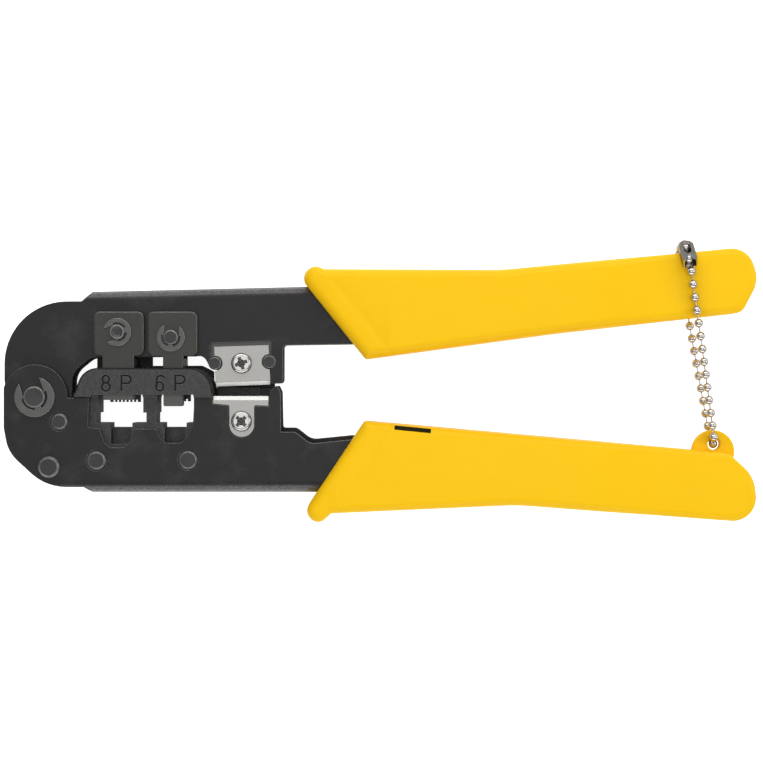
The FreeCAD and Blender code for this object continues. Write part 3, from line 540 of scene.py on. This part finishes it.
@dataclass
class Grip:
    """One moulded grip: a shell with rounded rims and a crease near its slanted mouth.

    The outline holds the X, Y and rounding of each corner, in millimetres.
    """

    name: str
    body: str
    node: str
    outline: tuple[Point3, ...]
    mouth: tuple[Point2, Point2]
    half_depth: float = 10.0
    end_half_depth: float = 6.6
    rim: float = 2.6
    taper: Point2 = (55.0, 76.0)
    ridge_reach: float = 6.4
    crease: float = 0.014
    crease_reach: float = 0.4
    mouth_depth: float = 0.93
    smallest_corner: float = 0.35
    corner_steps: int = 9
    rim_steps: int = 7
    slices: range = range(-18, 100, 3)
    vent: Vent | None = None

    def corner(self, before: Vector, here: Vector, after: Vector, radius: float) -> list[Vector]:
        """The points of one rounded corner, in millimetres."""
        back = (before - here).normalized()
        on = (after - here).normalized()
        half = back.angle(on) / 2
        start = here + back * (radius / math.tan(half))
        centre = here + (back + on).normalized() * (radius / math.sin(half))
        turn = (math.pi - 2 * half) / self.corner_steps
        side = 1.0 if back.cross(on).z < 0 else -1.0
        arm = start - centre
        turns = (side * turn * i for i in range(self.corner_steps + 1))
        return [centre + Matrix.Rotation(angle, 3, "Z") @ arm for angle in turns]

    def moved_in(self, i: int, inset: float) -> Vector:
        """One corner of the outline after both its sides have moved in by inset, in millimetres."""
        count = len(self.outline)
        before, here, after = (Vector((*self.outline[k % count][:2], 0.0)) for k in (i - 1, i, i + 1))
        back = (before - here).normalized()
        on = (after - here).normalized()
        half = back.angle(on) / 2
        hollow = back.cross(on).z * self.way_round() > 0
        return here + (back + on).normalized() * (inset / math.sin(half)) * (-1.0 if hollow else 1.0)

    def way_round(self) -> float:
        """1 where the outline runs anticlockwise, and -1 where it runs clockwise."""
        pairs = zip(self.outline, self.outline[1:] + self.outline[:1])
        return 1.0 if sum(a[0] * b[1] - b[0] * a[1] for a, b in pairs) > 0 else -1.0

    def rounded(self, inset: float = 0.0) -> list[Vector]:
        """The outline, moved in by inset, with its corners rounded, in millimetres."""
        count = len(self.outline)
        corners = [self.moved_in(i, inset) for i in range(count)]
        found: list[Vector] = []
        for i, here in enumerate(corners):
            before = corners[i - 1]
            after = corners[(i + 1) % count]
            hollow = (before - here).cross(after - here).z * self.way_round() > 0
            radius = self.outline[i][2] + (inset if hollow else -inset)
            found += self.corner(before, here, after, max(radius, self.smallest_corner))
        return found

    def into_mouth(self) -> tuple[Vector, Vector]:
        """A point of the slanted mouth, and the direction from there into the grip."""
        first, last = (Vector((*p, 0.0)) for p in self.mouth)
        along = (last - first).normalized()
        across = Vector((-along.y, along.x, 0.0))
        return first, across if across.x > 0 else -across

    def depth_at(self, x: float, y: float) -> float:
        """How much of the full depth the grip has at a place, from 0 to 1."""
        low, high = self.taper
        share = min(max((x - low) / (high - low), 0.0), 1.0)
        share = share * share * (3 - 2 * share)
        depth = 1.0 + (self.end_half_depth / self.half_depth - 1.0) * share
        first, across = self.into_mouth()
        inward = abs((Vector((x, y, 0.0)) - first).dot(across))
        if inward < self.ridge_reach:
            depth *= self.mouth_depth + (1 - self.mouth_depth) * inward / self.ridge_reach
        beside = abs(inward - self.ridge_reach)
        return depth - self.crease * max(1.0 - beside / self.crease_reach, 0.0)

    def shell(self) -> bmesh.types.BMesh:
        """The grip: half of it extruded from its outline and drawn in round its rim, and its mirror image."""
        mesh = bmesh.new()
        face = mesh.faces.new([mesh.verts.new(point * MM) for point in self.rounded()])
        wall = (self.half_depth - self.rim) * MM
        turns = [math.radians(90.0 * i / self.rim_steps) for i in range(self.rim_steps + 1)]
        rims = [(self.rim * (1 - math.cos(turn)), wall + self.rim * math.sin(turn) * MM) for turn in turns]
        for inset, height in rims:
            grown = bmesh.ops.extrude_discrete_faces(mesh, faces=[face])
            face = grown["faces"][0]
            for vertex, point in zip(face.verts, self.rounded(inset)):
                vertex.co = Vector((point.x * MM, point.y * MM, height))
        self.slice(mesh)
        for vertex in mesh.verts:
            vertex.co.z *= self.depth_at(vertex.co.x / MM, vertex.co.y / MM)
        whole = mesh.verts[:] + mesh.edges[:] + mesh.faces[:]
        bmesh.ops.mirror(mesh, geom=whole, axis="Z", merge_dist=MERGE_REACH / 2)
        bmesh.ops.remove_doubles(mesh, verts=mesh.verts[:], dist=MERGE_REACH)
        bmesh.ops.recalc_face_normals(mesh, faces=mesh.faces[:])
        if self.vent:
            self.sink(mesh, self.vent)
        bmesh.ops.translate(mesh, verts=mesh.verts[:], vec=(0, 0, MID_PLANE))
        return mesh

    def sink(self, mesh: bmesh.types.BMesh, vent: Vent) -> None:
        """Sinks the narrow slot into the front face.

        Args:
            mesh: the grip, about its mid-plane.
            vent: the slot.
        """
        middle = Vector((*vent.middle, 0.0))
        axes = [Matrix.Rotation(vent.lean, 3, "Z") @ Vector(axis) for axis in ((1, 0, 0), (0, 1, 0))]
        for axis, size in zip(axes, vent.size):
            for side in (-0.5, 0.5):
                cut(mesh, middle + axis * size * side, axis)
        found = []
        for face in mesh.faces:
            offset = face.calc_center_median() / MM - middle
            inside = all(abs(offset.dot(axis)) < size / 2 for axis, size in zip(axes, vent.size))
            if inside and offset.z > vent.floor:
                found.append(face)
        sunk = bmesh.ops.extrude_face_region(mesh, geom=found)
        bmesh.ops.delete(mesh, geom=[face for face in found if face.is_valid], context="FACES")
        for item in sunk["geom"]:
            if isinstance(item, bmesh.types.BMVert):
                item.co.z = vent.floor * MM

    def slice(self, mesh: bmesh.types.BMesh) -> None:
        """Cuts the shell into short lengths, so that its depth can change along it."""
        for x in self.slices:
            cut(mesh, Vector((x, 0, 0)), Vector((1, 0, 0)))
        first, across = self.into_mouth()
        for beside in (-self.crease_reach, 0.0, self.crease_reach):
            cut(mesh, first + across * (self.ridge_reach + beside), across)

    def build(self, material: bpy.types.Material) -> bpy.types.Object:
        """Makes the grip and puts it in place of the plain one.

        Args:
            material: its finish.

        Returns:
            The piece.
        """
        piece = finished(self.shell(), self.name, material)
        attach(piece, self.body)
        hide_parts(self.node)
        LOG.info("%s: %d faces", self.name, len(piece.data.polygons))
        return piece


@dataclass
class EyeletTab:
    """The round tab that stands out of the lower grip and takes the chain."""

    middle: Point2 = (89.0, -17.5)
    hole: Point2 = (89.1, -15.5)
    radius: float = 5.7
    hole_radius: float = 1.6
    half_thickness: float = 1.5
    broken_edge: float = 0.45
    rim_steps: int = 56
    hole_steps: int = 28

    def build(self, material: bpy.types.Material) -> bpy.types.Object:
        """Makes the tab, a bevelled disc with a hole through it.

        Args:
            material: its finish.

        Returns:
            The piece.
        """
        mesh = bmesh.new()
        rim = self.ring(mesh, self.middle, self.radius, self.rim_steps)
        bore = self.ring(mesh, self.hole, self.hole_radius, self.hole_steps)
        bmesh.ops.triangle_fill(mesh, use_beauty=True, edges=rim + bore)
        centre = Vector((*self.hole, 0.0)) * MM
        reach = self.hole_radius * MM
        inside = [face for face in mesh.faces if (face.calc_center_median() - centre).length < reach]
        bmesh.ops.delete(mesh, geom=inside, context="FACES")
        up = bmesh.ops.extrude_face_region(mesh, geom=mesh.faces[:])
        raised = [item for item in up["geom"] if isinstance(item, bmesh.types.BMVert)]
        bmesh.ops.translate(mesh, verts=raised, vec=(0, 0, 2 * self.half_thickness * MM))
        bmesh.ops.recalc_face_normals(mesh, faces=mesh.faces[:])
        corners = [e for e in mesh.edges if e.calc_face_angle(0.0) > 1.0]
        bmesh.ops.bevel(mesh, geom=corners, offset=self.broken_edge * MM, offset_type="OFFSET",
                        affect="EDGES", segments=3, profile=0.5, material=-1)
        bmesh.ops.translate(mesh, verts=mesh.verts[:], vec=(0, 0, MID_PLANE - self.half_thickness * MM))
        piece = finished(mesh, "eyelet_tab", material)
        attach(piece, "lower")
        return piece

    def ring(self, mesh: bmesh.types.BMesh, middle: Point2, radius: float,
             steps: int) -> list[bmesh.types.BMEdge]:
        """The edges of a circle."""
        made = bmesh.ops.create_circle(mesh, cap_ends=False, radius=radius * MM, segments=steps,
                                       matrix=Matrix.Translation(Vector((*middle, 0.0)) * MM))
        return list({edge for vertex in made["verts"] for edge in vertex.link_edges})


@dataclass
class BallChain:
    """The nickel-plated ball chain: beads on short rods, from one end of its clasp to the other."""

    eyelet: Point2 = (89.1, -15.5)
    lean: float = math.radians(8.9)
    bead: float = 2.4
    rod: float = 0.42
    pitch: float = 3.43
    real_length: float = 0.120
    route: tuple[Point2, ...] = (
        (48.2, 9.95), (42.5, 8.3), (32.0, 8.3), (14.0, 5.6), (0.0, 3.5), (0.0, -3.5), (14.0, -5.6),
        (32.0, -8.3), (41.5, -8.35), (54.4, -8.6), (53.8, 5.45),
    )
    phase: float = 0.58
    held: tuple[float, ...] = (0.27, 0.82)
    blend_reach: Point2 = (2.0, 50.0)
    round_steps: int = 20
    pole_steps: int = 14
    rod_steps: int = 10
    rod_hidden: float = 0.5
    line: list[Vector] = field(default_factory=list)

    def at(self, s: float, z: float) -> Vector:
        """A point s along the chain's plane from the eyelet and z from the mid-plane, in metres."""
        x = self.eyelet[0] - s * math.sin(self.lean)
        y = self.eyelet[1] + s * math.cos(self.lean)
        return Vector((x * MM, y * MM, MID_PLANE + z * MM))

    def read_line(self) -> list[Vector]:
        """Points read from the route's smooth spline."""
        curve = bpy.data.curves.new("chain_route", "CURVE")
        curve.dimensions = "3D"
        curve.resolution_u = 40
        spline = curve.splines.new("NURBS")
        spline.points.add(len(self.route) - 1)
        for point, place in zip(spline.points, self.route):
            point.co = (*self.at(*place), 1.0)
        spline.order_u = 3
        spline.use_endpoint_u = True
        holder = bpy.data.objects.new("chain_route", curve)
        bpy.context.scene.collection.objects.link(holder)
        bpy.context.view_layer.update()
        drawn = bpy.data.meshes.new_from_object(holder)
        found = [vertex.co.copy() for vertex in drawn.vertices]
        bpy.data.objects.remove(holder)
        bpy.data.curves.remove(curve)
        bpy.data.meshes.remove(drawn)
        return found

    def length(self) -> float:
        """The length of the line, in metres."""
        return sum((b - a).length for a, b in zip(self.line, self.line[1:]))

    def along(self, reach: float) -> tuple[Vector, Vector]:
        """The place and direction at a distance along the line."""
        for a, b in zip(self.line, self.line[1:]):
            step = (b - a).length
            if reach <= step:
                return a.lerp(b, reach / step), (b - a).normalized()
            reach -= step
        return self.line[-1], (self.line[-1] - self.line[-2]).normalized()

    def build(self, material: bpy.types.Material, clasp: bpy.types.Object) -> bpy.types.Object:
        """Threads the beads along the line.

        Args:
            material: the plate's finish.
            clasp: the piece that closes the loop; not used.

        Returns:
            The chain.
        """
        self.line = self.read_line()
        total = self.length()
        count = round(total / (self.pitch * MM))
        mesh = bmesh.new()
        owners: list[tuple[int, Vector]] = []
        for i in range(count):
            place, heading = self.along(total * (i + self.phase) / count)
            owners.append((self.add_bead(mesh, self.turned(place, heading)), place))
        for share in self.held:
            place = self.line[0].lerp(self.line[-1], share)
            owners.append((self.add_bead(mesh, Matrix.Translation(place)), place))
        for i in range(1, count):
            middle, heading = self.along(total * (i + self.phase - 0.5) / count)
            owners.append((self.add_rod(mesh, self.turned(middle, heading)), middle))
        piece = finished(mesh, "ball_chain", material, 60.0)
        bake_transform(piece)
        self.keep_beads_round(owners)
        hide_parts("keeper_chain")
        LOG.info("ball_chain: %d beads on %.1f mm", count, total / MM)
        return piece

    def turned(self, place: Vector, heading: Vector) -> Matrix:
        """The placing of a piece whose Z follows the chain."""
        return Matrix.Translation(place) @ heading.to_track_quat("Z", "Y").to_matrix().to_4x4()

    def add_bead(self, mesh: bmesh.types.BMesh, placing: Matrix) -> int:
        """Adds one bead and returns how many points it has."""
        made = bmesh.ops.create_uvsphere(mesh, u_segments=self.round_steps, v_segments=self.pole_steps,
                                         radius=self.bead / 2 * MM, matrix=placing)
        return len(made["verts"])

    def add_rod(self, mesh: bmesh.types.BMesh, placing: Matrix) -> int:
        """Adds the rod between two beads and returns how many points it has."""
        radius = self.rod / 2 * MM
        depth = (self.pitch - self.bead + self.rod_hidden) * MM
        made = bmesh.ops.create_cone(mesh, cap_ends=True, segments=self.rod_steps, radius1=radius,
                                     radius2=radius, depth=depth, matrix=placing)
        return len(made["verts"])

    def keep_beads_round(self, owners: list[tuple[int, Vector]]) -> None:
        """Works out, for every point of one bead or rod, the same share of the two bodies' motion, and does
        nothing with it.

        Args:
            owners: how many points each bead or rod has, in order, and its middle.
        """
        start = self.at(self.blend_reach[0], 0)
        run = self.at(self.blend_reach[1], 0) - start
        shares: list[float] = []
        for count, middle in owners:
            t = min(max((middle - start).dot(run) / run.length_squared, 0.0), 1.0)
            shares += [t * t * (3 - 2 * t)] * count


@dataclass
class Finishes:
    """Every finish of the tool, and which nodes of the frame wear it."""

    grip: MouldedPlastic = MouldedPlastic("yellow_grip", (0.94, 0.56, 0.006), (0.88, 0.5, 0.004))
    oxide: OxideSteel = OxideSteel("black_oxide", (0.024, 0.023, 0.024), (0.3, 0.295, 0.295))
    plunger: OxideSteel = OxideSteel("plunger_oxide", (0.046, 0.046, 0.042), (0.26, 0.26, 0.25), 0.38)
    casting: CastSteel = CastSteel("die_casting", (0.07, 0.07, 0.07), (0.018, 0.018, 0.018),
                                   MID_PLANE + 8.3 * MM, -1.8 * MM)
    rivet: OxideSteel = OxideSteel("dark_rivet", (0.04, 0.04, 0.04), (0.42, 0.42, 0.41), 0.36)
    clip: OxideSteel = OxideSteel("retaining_clip", (0.09, 0.09, 0.086), (0.42, 0.42, 0.41), 0.34)
    blade: GroundSteel = GroundSteel("ground_blade", (0.385, 0.38, 0.365), Grain.ALONG)
    punch: GroundSteel = GroundSteel("ground_punch", (0.1, 0.1, 0.094), Grain.ACROSS, 0.34)
    comb: GroundSteel = GroundSteel("contact_comb", (0.06, 0.06, 0.056), Grain.ACROSS, 0.4)
    plate: PlatedMetal = PlatedMetal("nickel_plate", (0.66, 0.63, 0.6))
    screw: PlatedMetal = PlatedMetal("screw_plate", (0.56, 0.555, 0.54), 0.24,
                                     ((-36.91, 6.03, 6.65), (-36.79, -9.31, 8.5)))
    wire: GroundSteel = GroundSteel("spring_wire", (0.3, 0.3, 0.29), Grain.ALONG, 0.34)

    def worn_by(self) -> dict[str, tuple[str, ...]]:
        """The nodes that wear each finish, by the name of its field."""
        return {
            "oxide": ("lower_frame", "upper_frame"),
            "plunger": ("plunger_8p", "plunger_6p"),
            "casting": ("die_block",),
            "rivet": ("die_block_rivets", "spring_post", "pivot_pin", "plunger_pin_8p", "plunger_pin_6p",
                      "blade_rivets"),
            "clip": ("pivot_e_clip", "plunger_e_clip_8p", "plunger_e_clip_6p"),
            "blade": ("lower_blade", "upper_blade"),
            "punch": ("cable_punch_8p", "cable_punch_6p", "blade_block"),
            "comb": ("contact_comb_8p", "contact_comb_6p"),
            "plate": ("chain_connector",),
            "screw": ("lower_blade_screw", "upper_blade_screw"),
            "wire": ("return_spring",),
        }

    def dress(self, nodes: dict[str, bpy.types.Object]) -> dict[str, bpy.types.Material]:
        """Gives every node of the frame its finish.

        Args:
            nodes: the frame's nodes by name.

        Returns:
            The materials by the name of their field.
        """
        made = {name: getattr(self, name).make() for name in (*self.worn_by(), "grip")}
        for finish, names in self.worn_by().items():
            for name in names:
                for wearing in nodes[name].material_slots:
                    wearing.material = made[finish]
        return made


@dataclass(frozen=True)
class Lamp:
    """One soft rectangular lamp that points at the tool."""

    name: str
    place: Point3
    sides: Point2
    watts: float

    def hang(self) -> None:
        """Puts the lamp in the scene."""
        data = bpy.data.lights.new(self.name, "AREA")
        data.shape = "RECTANGLE"
        data.size, data.size_y = self.sides
        data.energy = self.watts
        lamp = bpy.data.objects.new(self.name, data)
        lamp.location = self.place
        lamp.rotation_euler = (-Vector(self.place)).to_track_quat("-Z", "Y").to_euler()
        bpy.context.scene.collection.objects.link(lamp)


@dataclass(frozen=True)
class Studio:
    """A white bench top under soft light, and the camera straight above the tool."""

    height: float = 0.560
    look_x: float = 0.27 * MM
    look_y: float = 1.2 * MM
    lens: float = 96.8
    floor_size: float = 4.0
    floor_drop: float = 0.2 * MM
    room_light: float = 0.3
    lamps: tuple[Lamp, ...] = (
        Lamp("overhead_lamp", (0.0, 0.1, 1.1), (0.9, 0.9), 3.0),
        Lamp("back_strip", (0.0, 0.72, 0.5), (1.4, 0.3), 5.2),
        Lamp("front_strip", (0.0, -0.72, 0.42), (1.4, 0.26), 3.6),
        Lamp("right_lamp", (0.8, 0.1, 0.5), (0.5, 0.5), 1.6),
    )

    def camera(self) -> None:
        """Puts the camera straight above the tool."""
        data = bpy.data.cameras.new("bench_camera")
        data.sensor_width = 36.0
        data.lens = self.lens
        data.clip_start = 0.01
        eye = bpy.data.objects.new("bench_camera", data)
        eye.location = (self.look_x, self.look_y, self.height)
        bpy.context.scene.collection.objects.link(eye)
        bpy.context.scene.camera = eye

    def floor(self) -> None:
        """Lays the white bench top, which glows more for the camera than for the tool."""
        bench = Bench("bench_top")
        bench.feed("Base Color", (0.9, 0.9, 0.9, 1.0))
        bench.feed("Roughness", 0.9)
        seen = Signal(bench, bench.node("ShaderNodeLightPath").outputs["Is Camera Ray"])
        bench.feed("Emission Color", bench.mixed(seen, (0.25, 0.25, 0.25), (1.0, 1.0, 1.0)))
        bench.feed("Emission Strength", 0.9)
        mesh = bmesh.new()
        bmesh.ops.create_grid(mesh, x_segments=1, y_segments=1, size=self.floor_size / 2)
        bmesh.ops.translate(mesh, verts=mesh.verts[:], vec=(0, 0, -self.floor_drop))
        finished(mesh, "bench_top", bench.material)

    def light(self) -> None:
        """Lights the bench from above, with a long soft box along each side."""
        for lamp in self.lamps:
            lamp.hang()
        world = bpy.data.worlds.new("soft_room")
        world.use_nodes = True
        background = world.node_tree.nodes["Background"]
        background.inputs["Color"].default_value = (1.0, 1.0, 1.0, 1.0)
        background.inputs["Strength"].default_value = self.room_light
        bpy.context.scene.world = world
        bpy.context.scene.view_settings.view_transform = "Standard"


UPPER_GRIP = Grip(
    name="upper_grip_shell", body="upper", node="upper_grip",
    outline=((-21.5, 29.0, 3.0), (-17.5, 32.2, 3.0), (-15.0, 30.95, 0.5), (32.0, 30.75, 60.0),
             (97.4, 37.0, 6.0), (100.7, 28.2, 8.0), (96.1, 19.5, 3.0), (47.3, 14.05, 60.0),
             (-4.0, 7.1, 1.2)),
    mouth=((-21.5, 29.0), (-4.0, 7.1)),
)
LOWER_GRIP = Grip(
    name="lower_grip_shell", body="lower", node="lower_grip",
    outline=((-4.3, -9.3, 1.2), (82.5, -17.0, 60.0), (92.6, -17.9, 6.0), (99.2, -24.0, 9.0),
             (100.55, -36.44, 6.2), (36.0, -31.5, 60.0), (-13.0, -33.7, 0.5), (-16.6, -37.0, 2.7),
             (-20.3, -33.3, 3.0)),
    mouth=((-20.3, -33.3), (-4.3, -9.3)),
    rim=2.2,
    vent=VENT,
)


def main() -> None:
    """Builds every piece in order."""
    logging.basicConfig(level=logging.INFO, format="%(message)s")
    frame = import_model()
    studio = Studio()
    studio.camera()
    materials = Finishes().dress(frame["nodes"])
    BallChain().build(materials["plate"], frame["nodes"]["chain_connector"])
    UPPER_GRIP.build(materials["grip"])
    LOWER_GRIP.build(materials["grip"])
    EyeletTab().build(materials["grip"])
    studio.floor()
    studio.light()


if __name__ == "__main__":
    main()
